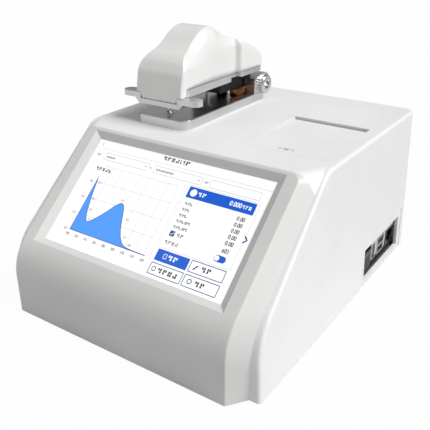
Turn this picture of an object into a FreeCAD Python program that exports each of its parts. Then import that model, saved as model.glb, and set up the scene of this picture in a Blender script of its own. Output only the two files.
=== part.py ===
import FreeCAD, Part
import math
import os
from FreeCAD import Vector as V

# Bench-top spectrophotometer with a hinged micro-volume arm and a lidded cuvette well.
# Lengths are millimetres. While a piece is made, x runs across, y runs back from the
# front edge of the fascia and z runs up from the rim of the case. save() moves it to the
# part's frame, whose origin is the middle of the footprint on the table.

# case
depth = 275.0
base_half = 109.8
top_half = 104.3
height = 123.3
wall = 3.0
foot_clear = 2.0
back_corner = 10.0
edge_round = 2.5

# fascia: a raised pad with a vertical foot, a large bend and a sloped display face
slope = math.radians(41.3)
slope_foot = 46.9
bend_radius = 36.0
face_half = 92.3
band_spread = 9.5
band_front = 13.2
band_slope = 10.5
pad_corner = 11.0
pad_round = 1.5
fascia_wall = 3.7
ridge_y = (height - slope_foot) / math.tan(slope)
parting_y = ridge_y + pad_round

# display, measured up the slope from where the sloped face meets the front plane
active_wide = 154.2
active_high = 87.1
active_mid = 64.9
lip_side = 5.8
lip_end = 5.05
glass_margin = 3.9
glass_thick = 1.8
gasket_thick = 0.8
module_thick = 5.0
frame_thick = 1.2
post_x = 84.7

# cuvette lid, tray and holder
lid_left = 29.2
lid_right = 93.2
lid_front = 117.4
lid_back = 199.5
lid_gap = 0.4
lid_sink = 2.0
lid_thick = 2.6
lid_swing_gap = 1.8
lid_pin_y = 194.0
lid_pin_drop = 6.0
lid_pin_radius = 1.5
tray_wall = 3.0
tray_floor_drop = 13.5
well_size = 12.6
well_depth = 42.0
well_y = 150.0
holder_size = 40.0
beam_z = 88.0

# measuring arm, centred on arm_x; heights are above the top of the case
arm_x = -45.0
plate_half = 25.3
plate_front = 115.0
plate_back = 238.0
plate_thick = 7.4
plate_round = 9.0
pin_y = 231.0
pin_up = 13.5
pin_radius = 3.0
cheek_in = 14.6
cheek_front = 215.6
cheek_back = 241.0
cheek_top = 23.3
cheek_brow = 19.9
deck_half = 23.0
bar_low = 16.3
deck_low = 24.5
deck_high = 30.0
deck_front = 121.0
deck_back = 187.0
hood_half = 22.0
hood_half_back = 26.5
hood_step_y = 192.0
hood_back = 227.6
hood_wall = 2.2
sample_y = 128.0
tip_radius = 1.3
plunger_y = 183.0
plunger_low = height + 2.9
plunger_radius = 1.3
knuckle_low = 13.8
knuckle_front = 178.0
cap_radius = 8.3
ribbon_left = 6.5
ribbon_right = 16.5
run_gap = 0.05
part_gap = 0.3

# input and output recess on the right side
port_front = 178.0
port_back = 254.0
port_low = 4.5
port_high = 32.0
border = 6.5
border_depth = 0.5
panel_x = 104.0
panel_thick = 1.0
board_z = 8.0
board_thick = 1.6

# cooling fan at the back
fan_x = -40.0
fan_z = 70.0
fan_size = 50.0
fan_thick = 15.0
fan_bore = 23.0

# base
pan_low = 0.8
pan_thick = 2.0
boss_x = 98.0
boss_rows = (40.0, 150.0, 263.0)
boss_radius = 4.5

pan_top = pan_low + pan_thick
board_top = board_z + board_thick


def save(name, shapes):
    shape = Part.Compound(shapes) if isinstance(shapes, list) else shapes
    shape = shape.copy()
    shape.translate(V(0, -depth / 2, foot_clear))
    shape.exportStep("parts/" + name + ".step")
    print(name, len(shape.Solids), shape.isValid(), round(shape.Volume, 1))


def block(x0, x1, y0, y1, z0, z1):
    return Part.makeBox(x1 - x0, y1 - y0, z1 - z0, V(x0, y0, z0))


def edges_where(shape, test):
    return [edge for edge in shape.Edges if test(edge.BoundBox)]


def upright(box):
    return box.XLength < 0.01 and box.YLength < 0.01


def slab(x0, x1, y0, y1, z0, z1, corner):
    """A plate whose upright edges are rounded."""
    plate = block(x0, x1, y0, y1, z0, z1)
    return plate.makeFillet(corner, edges_where(plate, upright))


def rod_x(x0, x1, y, z, radius):
    return Part.makeCylinder(radius, x1 - x0, V(x0, y, z), V(1, 0, 0))


def rod_y(x, y0, y1, z, radius):
    return Part.makeCylinder(radius, y1 - y0, V(x, y0, z), V(0, 1, 0))


def rod_z(x, y, z0, z1, radius):
    return Part.makeCylinder(radius, z1 - z0, V(x, y, z0))


def rounded_wire(corners, place):
    """A closed outline through corners (a, b, radius); place puts each point in space."""
    legs = []
    for index, (a, b, radius) in enumerate(corners):
        point = V(a, b, 0)
        if radius == 0:
            legs.append((point, None, point))
            continue
        before = V(*corners[index - 1][:2], 0)
        after = V(*corners[(index + 1) % len(corners)][:2], 0)
        back = (before - point).normalize()
        ahead = (after - point).normalize()
        half = back.getAngle(ahead) / 2
        centre = point + (back + ahead).normalize() * (radius / math.sin(half))
        middle = centre + (point - centre).normalize() * radius
        reach = radius / math.tan(half)
        legs.append((point + back * reach, middle, point + ahead * reach))
    edges = []
    for index, (start, middle, end) in enumerate(legs):
        following = legs[(index + 1) % len(legs)][0]
        if middle is not None:
            edges.append(Part.Arc(place(start), place(middle), place(end)).toShape())
        if (following - end).Length > 1e-6:
            edges.append(Part.LineSegment(place(end), place(following)).toShape())
    return Part.Wire(edges)


def side_wire(corners, x):
    return rounded_wire(corners, lambda p: V(x, p.x, p.y))


def prism_x(corners, x0, x1):
    """A side outline (y, z, radius) run across from x0 to x1."""
    return Part.Face(side_wire(corners, x0)).extrude(V(x1 - x0, 0, 0))


def prism_y(corners, y0, y1):
    """A front outline (x, z, radius) run back from y0 to y1."""
    face = Part.Face(rounded_wire(corners, lambda p: V(p.x, y0, p.y)))
    return face.extrude(V(0, y1 - y0, 0))


def prism_z(corners, z0, z1):
    """A plan outline (x, y, radius) run up from z0 to z1."""
    face = Part.Face(rounded_wire(corners, lambda p: V(p.x, p.y, z0)))
    return face.extrude(V(0, 0, z1 - z0))


def mirrored(shape, x=0.0):
    return shape.mirror(V(x, 0, 0), V(1, 0, 0))


def on_slope(shape):
    """Local x, distance up the slope and height over the glass become case coordinates."""
    placed = shape.copy()
    placed.rotate(V(0, 0, 0), V(1, 0, 0), math.degrees(slope))
    back = fascia_wall * math.sin(slope)
    drop = fascia_wall * math.cos(slope)
    placed.translate(V(0, back, slope_foot - drop))
    return placed


def pan_head(x, y, z, radius, head, shank_radius, length):
    """A screw standing up from its head's underside at z."""
    screw = rod_z(x, y, z - head, z, radius).fuse(rod_z(x, y, z, z + length, shank_radius))
    slot = block(x - radius, x + radius, y - 0.4, y + 0.4, z - head - 1, z - head + 0.7)
    return screw.cut(slot)


def front_profile(front, inset, bend, top, back):
    """Side outline with a vertical front, a bend and a slope set in by inset."""
    foot = slope_foot - inset / math.cos(slope)
    knee = foot + math.tan(slope) * front
    crest = (top - foot) / math.tan(slope)
    return [(front, 0, 0), (front, knee, bend), (crest, top, 0), (back, top, 0), (back, 0, 0)]


def pad_outer():
    """The raised pad of the fascia, its side bands running outward past the case."""
    reach = 3.0
    tall = height + 45.0
    far = 190.0
    core = prism_x(front_profile(0, 0, bend_radius, tall, far), -face_half, face_half)
    near_wire = side_wire(front_profile(0, 0, bend_radius, tall, far), face_half)
    far_profile = front_profile(band_front * reach, band_slope * reach, bend_radius * 1.75, tall, far)
    far_wire = side_wire(far_profile, face_half + band_spread * reach)
    wedge = Part.makeLoft([near_wire, far_wire], True, True)
    room = block(-150, 150, -5, 160, 0, height)
    pad = core.fuse([wedge, mirrored(wedge)]).common(room).removeSplitter()

    def band_top(box):
        return box.ZMin > height - 0.01 and box.XMin * box.XMax > 0 and min(box.XLength, box.YLength) > 5
    pad = pad.makeFillet(pad_corner, edges_where(pad, band_top))

    def face_rim(box):
        if box.YMax > ridge_y + 1 or box.ZMax < 1:
            return False
        ridge = box.XLength > 160 and box.ZMin > height - 1
        side = box.XLength < 1e-3 and abs(abs(box.XMin) - face_half) < 0.5
        corner = 5 < box.XLength < 10 and box.ZMax > height - 1
        return ridge or side or corner
    return pad.makeFillet(pad_round, edges_where(pad, face_rim))


def case_outer():
    """The case without the pad: drafted sides, sloped front, rounded back corners."""
    foot = slope_foot - band_slope / math.cos(slope)
    crest = (height - foot) / math.tan(slope)
    knee = foot + math.tan(slope) * band_front
    side = [(band_front, 0, 0), (band_front, knee, 45), (crest, height, 18)]
    side += [(depth, height, 0), (depth, 0, 0)]
    front = [(-base_half, 0, 0), (base_half, 0, 0), (top_half, height, 0), (-top_half, height, 0)]
    body = prism_x(side, -120, 120).common(prism_y(front, 0, depth))
    corners = edges_where(body, lambda b: b.YMin > depth - 0.1 and b.ZLength > 100)
    body = body.makeFillet(back_corner, corners)

    def outer_rim(box):
        if box.YMin < band_front - 0.1 or max(abs(box.XMin), abs(box.XMax)) < 90:
            return False
        upper = box.ZMin > 1 or box.ZLength > 20
        back_post = box.ZMin < 1 and box.YMin > 200
        cross = box.XLength > 150 and box.YMin < 200
        return upper and not back_post and not cross
    return body.makeFillet(edge_round, edges_where(body, outer_rim))


def case_inside():
    foot = slope_foot - (band_slope + wall) / math.cos(slope)
    crest = (height - wall - foot) / math.tan(slope)
    front = band_front + wall
    knee = foot + math.tan(slope) * front
    side = [(front, -1, 0), (front, knee, 42), (crest, height - wall, 15)]
    side += [(depth - wall, height - wall, 0), (depth - wall, -1, 0)]
    low = base_half - wall
    high = top_half - wall
    ends = [(-low, -1, 0), (low, -1, 0), (high, height - wall, 0), (-high, height - wall, 0)]
    room = prism_x(side, -120, 120).common(prism_y(ends, 0, depth))
    corners = edges_where(room, lambda b: b.YMin > depth - wall - 0.1 and b.ZLength > 100)
    return room.makeFillet(back_corner - wall, corners)


def pad_inside():
    foot = slope_foot - fascia_wall / math.cos(slope)
    knee = foot + math.tan(slope) * fascia_wall
    top = height - wall
    crest = (top - foot) / math.tan(slope)
    side = [(fascia_wall, -1, 0), (fascia_wall, knee, bend_radius - fascia_wall), (crest, top, 0)]
    side += [(150, top, 0), (150, -1, 0)]
    half = face_half - 4.3
    return prism_x(side, -half, half)


def display_window():
    """The flared window: its lips lean in from the face to the glass."""
    wires = []
    for level in (-0.2, 1.3):
        half = active_wide / 2 + lip_side * level
        run = active_high / 2 + lip_end * level
        z = fascia_wall * level
        points = [V(sx * half, active_mid + sy * run, z) for sx, sy in ((-1, -1), (1, -1), (1, 1), (-1, 1))]
        wires.append(Part.makePolygon(points + points[:1]))
    return on_slope(Part.makeLoft(wires, True, True))


def display_posts():
    posts = []
    for x in (-post_x, post_x):
        for run in (active_mid - 36, active_mid + 36):
            posts.append(on_slope(rod_z(x, run, -frame_bottom(), 0.5, 2.6)))
    return posts


def frame_bottom():
    return glass_thick + gasket_thick + module_thick


def front_fascia(pad, case):
    forward = block(-150, 150, -10, parting_y, -1, height + 1)
    shell = pad.common(forward).cut(case).cut(pad_inside())
    shell = shell.fuse(display_posts()).cut(display_window())
    for x in (-post_x, post_x):
        for run in (active_mid - 36, active_mid + 36):
            shell = shell.cut(on_slope(rod_z(x, run, -frame_bottom() - 1, -1.5, 1.0)))
    return largest(shell)


def largest(shape):
    """The main solid of a cut, without slivers."""
    return max(shape.Solids, key=lambda solid: solid.Volume)


def side_x(z):
    return base_half - (base_half - top_half) * z / height


def side_slice(inner, outer, y0, y1, z0, z1):
    """A slice that follows the leaning right side between two depths from its face."""
    corners = [(side_x(z0) - inner, z0, 0), (side_x(z0) - outer, z0, 0)]
    corners += [(side_x(z1) - outer, z1, 0), (side_x(z1) - inner, z1, 0)]
    return prism_y(corners, y0, y1)


def case_bosses():
    bosses = []
    for y in boss_rows:
        for side in (-1, 1):
            boss = rod_z(side * boss_x, y, pan_top, 22, boss_radius)
            web = block(boss_x, base_half - 1.5, y - 1.5, y + 1.5, pan_top, 20)
            bosses.append(boss)
            bosses.append(web if side > 0 else mirrored(web))
    return bosses


def arm_holes():
    """Holes through the top of the case under the arm's base plate."""
    top = height - wall - 1
    holes = [rod_z(arm_x, sample_y, top, height + 1, 4.2)]
    holes.append(rod_z(arm_x, plunger_y, top, height + 1, 4.2))
    holes += [rod_z(x, y, top, height + 1, 2.2) for x, y in plate_screw_places()]
    holes.append(ribbon_slot(top, height + 1))
    return holes


def ribbon_slot(low, high):
    return block(arm_x + ribbon_left - 1, arm_x + ribbon_right + 1, 206, 209.5, low, high)


def housing_shell(pad, case):
    rear = pad.common(block(-150, 150, parting_y, 160, -1, height + 1))
    keep = block(-top_half + 1, top_half - 1, parting_y - 1, 115, height - 12, height + 1)
    shell = case.fuse(rear.common(keep)).cut(case_inside()).cut(pad_inside())
    # the fascia owns everything forward of the parting plane under its pad
    shell = shell.cut(block(-face_half + 4.3, face_half - 4.3, -10, parting_y, -1, height + 1))
    shell = largest(shell.fuse(case_bosses()).common(case.fuse(rear.common(keep))))
    lid_hole = slab(lid_left, lid_right, lid_front, lid_back, height - wall - 1, height + 1, 1.0)
    shell = shell.cut(lid_hole).cut(Part.Compound(arm_holes()))
    rim = side_slice(border_depth, -3, port_front - border, port_back + border, -1, port_high + border)
    shell = shell.cut(rim)
    shell = shell.cut(side_slice(6, -3, port_front, port_back, port_low, port_high))
    shell = shell.cut(rod_y(fan_x, depth - 5, depth + 1, fan_z, fan_bore + 0.5))
    shell = shell.cut(rod_y(socket_x, depth - 5, depth + 1, socket_z, 5.2))
    for side in (-1, 1):
        for y in boss_rows:
            shell = shell.cut(rod_z(side * boss_x, y, -1, 18, 1.3))
        for step in range(7):
            x = side * 17 + 45
            shell = shell.cut(block(x - 12, x + 12, depth - 5, depth + 1, 60 + 6 * step, 62.5 + 6 * step))
    return largest(shell)


def pan_outline():
    wide = base_half - wall - 0.9
    tongue = face_half - 5.0
    front = fascia_wall + 0.8
    step = band_front + wall + 0.8
    back = depth - wall - 0.8
    right = [(tongue, front, 1), (tongue, step, 1), (wide, step, 1), (wide, back, back_corner - wall)]
    left = [(-x, y, r) for x, y, r in reversed(right)]
    return right + left


def base_pan():
    pan = prism_z(pan_outline(), pan_low, pan_top)
    for side in (-1, 1):
        for y in boss_rows:
            pan = pan.cut(rod_z(side * boss_x, y, 0, 4, 1.8))
    for step in range(9):
        y = 60 + 7 * step
        pan = pan.cut(block(30, 80, y, y + 3, 0, 4))
    return pan


def rubber_feet():
    feet = []
    for x, y in ((-78, 34), (78, 34), (-88, 246), (88, 246)):
        foot = rod_z(x, y, -foot_clear, pan_low, 8)
        feet.append(foot.makeChamfer(0.8, edges_where(foot, lambda b: b.ZMax < -foot_clear + 0.01)))
    return feet


def base_screws():
    return [pan_head(side * boss_x, y, pan_low, 2.8, 1.5, 1.25, 14) for side in (-1, 1) for y in boss_rows]


def display_glass():
    half = active_wide / 2 + glass_margin
    run = active_high / 2 + glass_margin - 0.4
    return on_slope(slab(-half, half, active_mid - run, active_mid + run, -glass_thick, -0.02, 2))


def display_gasket():
    half = active_wide / 2 + glass_margin
    run = active_high / 2 + glass_margin - 0.4
    low = -glass_thick - gasket_thick
    ring = block(-half, half, active_mid - run, active_mid + run, low, -glass_thick)
    hole = block(-half + 3, half - 3, active_mid - run + 3, active_mid + run - 3, low - 1, 0)
    return on_slope(ring.cut(hole))


def lcd_module():
    low = -frame_bottom()
    half = active_wide / 2 + 1.5
    run = active_high / 2 + 1.5
    body = block(-half, half, active_mid - run, active_mid + run, low, low + module_thick)
    driver = block(-60, 20, active_mid - 30, active_mid + 25, low - 3.2, low)
    return on_slope(body.fuse(driver))


def display_frame():
    low = -frame_bottom() - frame_thick
    run = active_high / 2 + 2.5
    sheet = slab(-88, 88, active_mid - run, active_mid + run, low, low + frame_thick, 3)
    window = slab(-68, 30, active_mid - 34, active_mid + 30, low - 1, low + 4, 4)
    sheet = sheet.cut(window)
    for x in (-post_x, post_x):
        for step in (-36, 36):
            sheet = sheet.cut(rod_z(x, active_mid + step, low - 1, low + 3, 1.4))
    return on_slope(sheet)


def display_screws():
    low = -frame_bottom() - frame_thick
    places = [(x, active_mid + step) for x in (-post_x, post_x) for step in (-36, 36)]
    return [on_slope(pan_head(x, run, low, 2.2, 1.3, 0.95, 5)) for x, run in places]


def lid_surface(y):
    """Height of the lid's top: flush at its front and sunk at its back."""
    front = lid_front + lid_gap
    return height - lid_sink * (y - front) / (lid_back - front)


def cuvette_lid():
    front = lid_front + lid_gap
    back = lid_back - lid_swing_gap
    side = [(front, lid_surface(front), 0.4), (back, lid_surface(back), 0.6)]
    side += [(back, lid_surface(back) - lid_thick, 0), (front, lid_surface(front) - lid_thick, 0)]
    plate = prism_x(side, lid_left + lid_gap, lid_right - lid_gap)
    pin_z = height - lid_pin_drop
    for x in (lid_left + 0.8, lid_right - 3.8):
        ear = prism_x([(lid_pin_y - 3.4, height - 4.2, 0), (lid_pin_y + 3.4, height - 4.2, 0),
                       (lid_pin_y + 3.4, pin_z - 3.4, 3.3), (lid_pin_y - 3.4, pin_z - 3.4, 3.3)], x, x + 3)
        plate = plate.fuse(ear)
    rib = block(lid_left + 8, lid_right - 8, lid_front + 10, lid_front + 12, height - 6, height - 2)
    plate = plate.fuse(rib)
    return plate.cut(rod_x(lid_left, lid_right, lid_pin_y, pin_z, lid_pin_radius + run_gap))


def lid_pins():
    pin_z = height - lid_pin_drop
    left = rod_x(lid_left - tray_wall, lid_left + 3.6, lid_pin_y, pin_z, lid_pin_radius)
    right = rod_x(lid_right - 3.6, lid_right + tray_wall, lid_pin_y, pin_z, lid_pin_radius)
    return [left, right]


def sample_tray():
    top = height - wall
    floor_top = height - tray_floor_drop
    left = lid_left - tray_wall
    right = lid_right + tray_wall
    outer = block(left, right, lid_front - tray_wall, lid_back + tray_wall, floor_top - 2.5, top)
    room = block(lid_left, lid_right, lid_front, lid_back, floor_top, top + 1)
    tray = outer.cut(room)
    centre = (lid_left + lid_right) / 2
    half = well_size / 2
    low = floor_top - 5
    high = floor_top + 1
    tray = tray.cut(block(centre - half, centre + half, well_y - half, well_y + half, low, high))
    pin_z = height - lid_pin_drop
    tray = tray.cut(rod_x(lid_left - 5, lid_right + 5, lid_pin_y, pin_z, lid_pin_radius))
    ledge = block(lid_left, lid_right, lid_front, lid_front + 3, floor_top, height - 4)
    return tray.fuse(ledge)


def lid_magnet():
    centre = (lid_left + lid_right) / 2
    return rod_z(centre, lid_front + 6, height - 6.4, height - lid_thick - 0.3, 2.5)


def tray_keeper():
    """Steel post on the tray's floor that the lid's magnet closes on."""
    centre = (lid_left + lid_right) / 2
    return rod_z(centre, lid_front + 6, height - tray_floor_drop, height - 6.8, 2.9)


def cuvette_holder():
    centre = (lid_left + lid_right) / 2
    top = height - tray_floor_drop - 2.5
    half = holder_size / 2
    body = slab(centre - half, centre + half, well_y - half, well_y + half, top - 50, top, 3)
    well = well_size / 2
    low = top - well_depth
    body = body.cut(block(centre - well, centre + well, well_y - well, well_y + well, low, top + 1))
    return body.cut(rod_x(centre - half - 1, centre + half + 1, well_y, beam_z, 3.05))


def cuvette_lenses():
    centre = (lid_left + lid_right) / 2
    left = rod_x(centre - 20, centre - well_size / 2 - 1, well_y, beam_z, 3)
    return [left, mirrored(left, centre)]


def cuvette_lamp():
    centre = (lid_left + lid_right) / 2
    x0 = centre + holder_size / 2
    body = block(x0, x0 + 18, well_y - 10, well_y + 10, beam_z - 10, beam_z + 10)
    for step in range(4):
        z = beam_z - 8 + 4.5 * step
        body = body.cut(block(x0 + 6, x0 + 19, well_y - 11, well_y + 11, z, z + 2))
    return body


def cuvette_fibre():
    """Jacketed fibre from the holder, across and down to the spectrometer."""
    x0 = (lid_left + lid_right) / 2 - holder_size / 2
    turn = 26.0
    drop_x = -14.0
    bench_top = pan_top + 40
    path = [V(x0, well_y, beam_z), V(drop_x + turn, well_y, beam_z)]
    bend = turn * math.cos(math.pi / 4)
    middle = V(drop_x + turn - bend, well_y, beam_z - turn + bend)
    down = V(drop_x, well_y, beam_z - turn)
    arc = Part.Arc(path[1], middle, down).toShape()
    wire = Part.Wire([Part.LineSegment(*path).toShape(), arc,
                      Part.LineSegment(down, V(drop_x, well_y, bench_top)).toShape()])
    ring = Part.Wire([Part.makeCircle(1.6, path[0], V(1, 0, 0))])
    return wire.makePipeShell([ring], True, False)


def spectrometer_bench():
    top = pan_top + 40
    body = slab(-90, -4, 100, 192, pan_top, top, 4)
    rim = slab(-87, -7, 103, 189, top - 2.5, top + 1, 3)
    lid = slab(-86.8, -7.2, 103.2, 188.8, top - 2.5, top, 3)
    return body.cut(rim).fuse(lid)


def detector_fibre():
    return rod_z(arm_x, sample_y, pan_top + 40, height - 12, 1.6)


socket_x = 78.0
socket_z = 20.0


def mainboard():
    board = block(-12, 100.5, 203, 256, board_z, board_top)
    for x, y in standoff_places():
        board = board.cut(rod_z(x, y, board_z - 1, board_top + 1, 1.6))
    return board


def standoff_places():
    return [(-8, 207), (-8, 252), (62, 207), (62, 252)]


def board_standoffs():
    return [rod_z(x, y, pan_top, board_z, 2.8) for x, y in standoff_places()]


def board_parts():
    parts = [block(66, 76, 212, 222, board_top, board_top + 2)]
    parts += [block(28, 40, y, y + 10, board_top, board_top + 1.2) for y in (212, 226, 240)]
    parts += [rod_z(50, y, board_top, board_top + 9, 4) for y in (216, 230, 244)]
    return parts


def heat_sink():
    sink = block(-4, 22, 215, 243, board_top, board_top + 3)
    low = board_top + 3
    fins = [block(4 * step - 4, 4 * step - 2.5, 215, 243, low, low + 9) for step in range(7)]
    return sink.fuse(fins)


def power_board():
    return block(8, 78, 158, 198, board_z, board_top)


def power_parts():
    legs = [rod_z(x, y, pan_top, board_z, 2.8) for x in (12, 74) for y in (162, 194)]
    coil = rod_z(30, 178, board_top, board_top + 14, 10)
    caps = [rod_z(x, 186, board_top, board_top + 18, 5) for x in (50, 64)]
    bridge = block(46, 70, 162, 172, board_top, board_top + 12)
    return legs + [coil, bridge] + caps


def port_cells():
    """Name, front y, back y, bottom z and top z of each fitting seen in the recess."""
    return {
        "network_jack": (236.5, 252.5, board_top, board_top + 14.0),
        "usb_stack": (216.5, 231.5, board_top, board_top + 15.5),
        "usb_slim": (204.5, 211.5, board_top, board_top + 14.5),
        "rocker": (183.0, 199.0, 7.0, 29.0),
    }


def io_panel():
    inner = panel_x - panel_thick
    panel = block(inner, panel_x, port_front - 2, port_back + 2.5, pan_top + 0.2, port_high + 2)
    for y0, y1, z0, z1 in port_cells().values():
        panel = panel.cut(block(panel_x - 3, panel_x + 1, y0, y1, z0, z1))
    for y, z in panel_screw_places():
        panel = panel.cut(rod_x(panel_x - 3, panel_x + 1, y, z, 1.0))
    return panel


def panel_screw_places():
    return [(port_front + 1.6, 28.5), (port_back - 0.6, 28.5)]


def network_jack():
    y0, y1, z0, z1 = port_cells()["network_jack"]
    face = panel_x + 0.6
    body = block(face - 21, face, y0, y1, z0, z1)
    middle = (y0 + y1) / 2
    body = body.cut(block(face - 15, face + 1, middle - 6, middle + 6, z0 + 4.4, z1 - 1.2))
    return body.cut(block(face - 15, face + 1, middle - 3.2, middle + 3.2, z0 + 1.4, z0 + 5))


def usb_stack():
    y0, y1, z0, z1 = port_cells()["usb_stack"]
    face = panel_x + 0.6
    body = block(face - 17, face, y0, y1, z0, z1)
    for low in (z0 + 1.2, z0 + 8.6):
        mouth = block(face - 12, face + 1, y0 + 1.2, y1 - 1.2, low, low + 5.4)
        body = body.cut(mouth)
    return body


def usb_slim():
    y0, y1, z0, z1 = port_cells()["usb_slim"]
    face = panel_x + 0.6
    body = block(face - 17, face, y0, y1, z0, z1)
    return body.cut(block(face - 12, face + 1, y0 + 0.9, y1 - 0.9, z0 + 0.9, z1 - 0.9))


def port_tongues():
    y0, y1, z0, z1 = port_cells()["usb_stack"]
    face = panel_x + 0.6
    lows = (z0 + 4.5, z0 + 11.9)
    flats = [block(face - 12, face - 2, y0 + 1.8, y1 - 1.8, low, low + 1.8) for low in lows]
    a0, a1, c0, c1 = port_cells()["usb_slim"]
    flats.append(block(face - 12, face - 2, a1 - 2.9, a1 - 1.1, c0 + 1.6, c1 - 1.6))
    return flats


def rocker_frame():
    y0, y1, z0, z1 = port_cells()["rocker"]
    flange = block(panel_x, panel_x + 1.2, y0 - 1.2, y1 + 1.2, z0 - 1.2, z1 + 1.2)
    body = block(panel_x - 16, panel_x, y0, y1, z0, z1)
    room = block(panel_x - 10, panel_x + 3, y0 + 1.5, y1 - 1.5, z0 + 1.5, z1 - 1.5)
    frame = flange.fuse(body).cut(room)
    middle_z = (z0 + z1) / 2
    return frame.cut(rod_y(panel_x - 3, y0 - 0.1, y1 + 0.1, middle_z, 1.0))


def power_rocker():
    """Two-sided rocker whose outer face is a shallow V; its pins ride in the frame."""
    y0, y1, z0, z1 = port_cells()["rocker"]
    middle = (z0 + z1) / 2
    half = (z1 - z0) / 2 - 2.6
    dip = panel_x + 1.0
    outline = [(dip, middle, 0), (dip + 1.6, middle + half, 0.6), (dip - 5, middle + half - 1.5, 1)]
    outline += [(dip - 7.5, middle, 2), (dip - 5, middle - half + 1.5, 1), (dip + 1.6, middle - half, 0.6)]
    face = Part.Face(rounded_wire(outline, lambda p: V(p.x, y0 + 1.5 + part_gap, p.y)))
    rocker = face.extrude(V(0, y1 - y0 - 3 - 2 * part_gap, 0))
    return rocker.fuse(rod_y(panel_x - 3, y0 + 0.2, y1 - 0.2, middle, 1.0 - run_gap))


def panel_screws():
    screws = []
    for y, z in panel_screw_places():
        head = rod_x(panel_x, panel_x + 1.2, y, z, 1.9)
        screws.append(head.fuse(rod_x(panel_x - 4, panel_x, y, z, 1.0)))
    return screws


def power_socket():
    barrel = rod_y(socket_x, depth - 18, depth - 0.6, socket_z, 5.0)
    barrel = barrel.cut(rod_y(socket_x, depth - 12, depth + 1, socket_z, 2.9))
    corners = []
    for step in range(6):
        turn = step * math.pi / 3
        corners.append((socket_x + 7.5 * math.cos(turn), socket_z + 7.5 * math.sin(turn), 0))
    nut = prism_y(corners, depth - wall - 2.5, depth - wall)
    nut = nut.cut(rod_y(socket_x, depth - 20, depth, socket_z, 4.9))
    return barrel.fuse(nut).fuse(rod_y(socket_x, depth - 12, depth - 3, socket_z, 1.0))


def fan_frame():
    half = fan_size / 2
    back = depth - wall
    front = back - fan_thick
    frame = slab(-half, half, -half, half, 0, fan_thick, 3)
    frame = frame.cut(rod_z(0, 0, 2, fan_thick + 1, fan_bore))
    frame = frame.cut(rod_z(0, 0, -1, 3, fan_bore).cut(spider()))
    for sx in (-1, 1):
        for sy in (-1, 1):
            frame = frame.cut(rod_z(sx * 20, sy * 20, -1, fan_thick + 1, 2.1))
    frame = frame.cut(rod_z(0, 0, 0.8, 3, 1.5 + run_gap))
    return stand_fan(frame, front)


def spider():
    arms = rod_z(0, 0, 0, 2, 9)
    for quarter in range(2):
        bar = block(-25, 25, -1.5, 1.5, 0, 2)
        bar.rotate(V(0, 0, 0), V(0, 0, 1), 45 + 90 * quarter)
        arms = arms.fuse(bar)
    return arms


def stand_fan(shape, front):
    """Local z becomes the direction of the back of the case."""
    placed = shape.copy()
    placed.rotate(V(0, 0, 0), V(1, 0, 0), -90)
    placed.translate(V(fan_x, front, fan_z))
    return placed


def fan_rotor():
    blades = 7
    hub = rod_z(0, 0, 2.4, 14, 9).fuse(rod_z(0, 0, 1.0, 3, 1.5))
    for index in range(blades):
        blade = block(7, fan_bore - 0.8, -0.7, 0.7, 3.4, 13.4)
        blade.rotate(V(14, 0, 8.4), V(1, 0, 0), 38)
        blade.rotate(V(0, 0, 0), V(0, 0, 1), 360 / blades * index)
        hub = hub.fuse(blade)
    ring = rod_z(0, 0, 2.4, 14, fan_bore - 0.6)
    return stand_fan(hub.common(ring), depth - wall - fan_thick)


def fan_guard():
    guard = rod_z(0, 0, 0, 1.2, 3)
    for radius in (9, 15, 21):
        guard = guard.fuse(rod_z(0, 0, 0, 1.2, radius + 0.8).cut(rod_z(0, 0, -1, 2, radius - 0.8)))
    for quarter in range(2):
        bar = block(-fan_bore - 0.4, fan_bore + 0.4, -0.9, 0.9, 0, 1.2)
        bar.rotate(V(0, 0, 0), V(0, 0, 1), 45 + 90 * quarter)
        guard = guard.fuse(bar)
    rim = rod_z(0, 0, 0, 1.2, fan_bore + 0.4).cut(rod_z(0, 0, -1, 2, fan_bore - 1.2))
    return stand_fan(guard.fuse(rim), depth - wall + 0.4)


def fan_screws():
    screws = []
    for sx in (-1, 1):
        for sy in (-1, 1):
            head = rod_z(sx * 20, sy * 20, -2, 0, 3.2).fuse(rod_z(sx * 20, sy * 20, 0, fan_thick, 1.5))
            screws.append(stand_fan(head, depth - wall - fan_thick))
    return screws


def plate_screw_places():
    return [(arm_x + side * 17, y) for side in (-1, 1) for y in (126.0, 205.0)]


def arm_base_plate():
    top = height + plate_thick
    plate = slab(arm_x - plate_half, arm_x + plate_half, plate_front, plate_back, height, top, plate_round)
    plate = plate.makeChamfer(0.6, edges_where(plate, lambda b: b.ZMin > top - 0.01))
    plate = plate.cut(rod_z(arm_x, sample_y, height - 1, top + 1, 4.0))
    plate = plate.cut(rod_z(arm_x, plunger_y, height - 1, top + 1, plunger_radius + run_gap))
    plate = plate.cut(rod_z(arm_x, plunger_y, height - 1, height + 3.2, 4.2))
    for x, y in plate_screw_places():
        plate = plate.cut(rod_z(x, y, height - 1, height + 6, 1.7))
    return plate.cut(ribbon_slot(height - 1, top + 1))


def plate_screws():
    low = height - wall
    return [pan_head(x, y, low, 3.4, 2.2, 1.7, 8.6) for x, y in plate_screw_places()]


def hinge_cheek(side):
    low = height + plate_thick
    top = height + cheek_top
    outline = [(cheek_front, low, 0), (cheek_back, low, 7.0)]
    outline += [(cheek_back, top, 8.0), (pin_y - 4, top, 6.0), (cheek_front, height + cheek_brow, 1.2)]
    inner = arm_x + side * cheek_in
    outer = arm_x + side * plate_half
    cheek = prism_x(outline, min(inner, outer), max(inner, outer))
    return cheek.cut(rod_x(arm_x - 40, arm_x + 40, pin_y, height + pin_up, pin_radius))


def hinge_pin():
    return rod_x(arm_x - plate_half, arm_x + plate_half, pin_y, height + pin_up, pin_radius)


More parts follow.
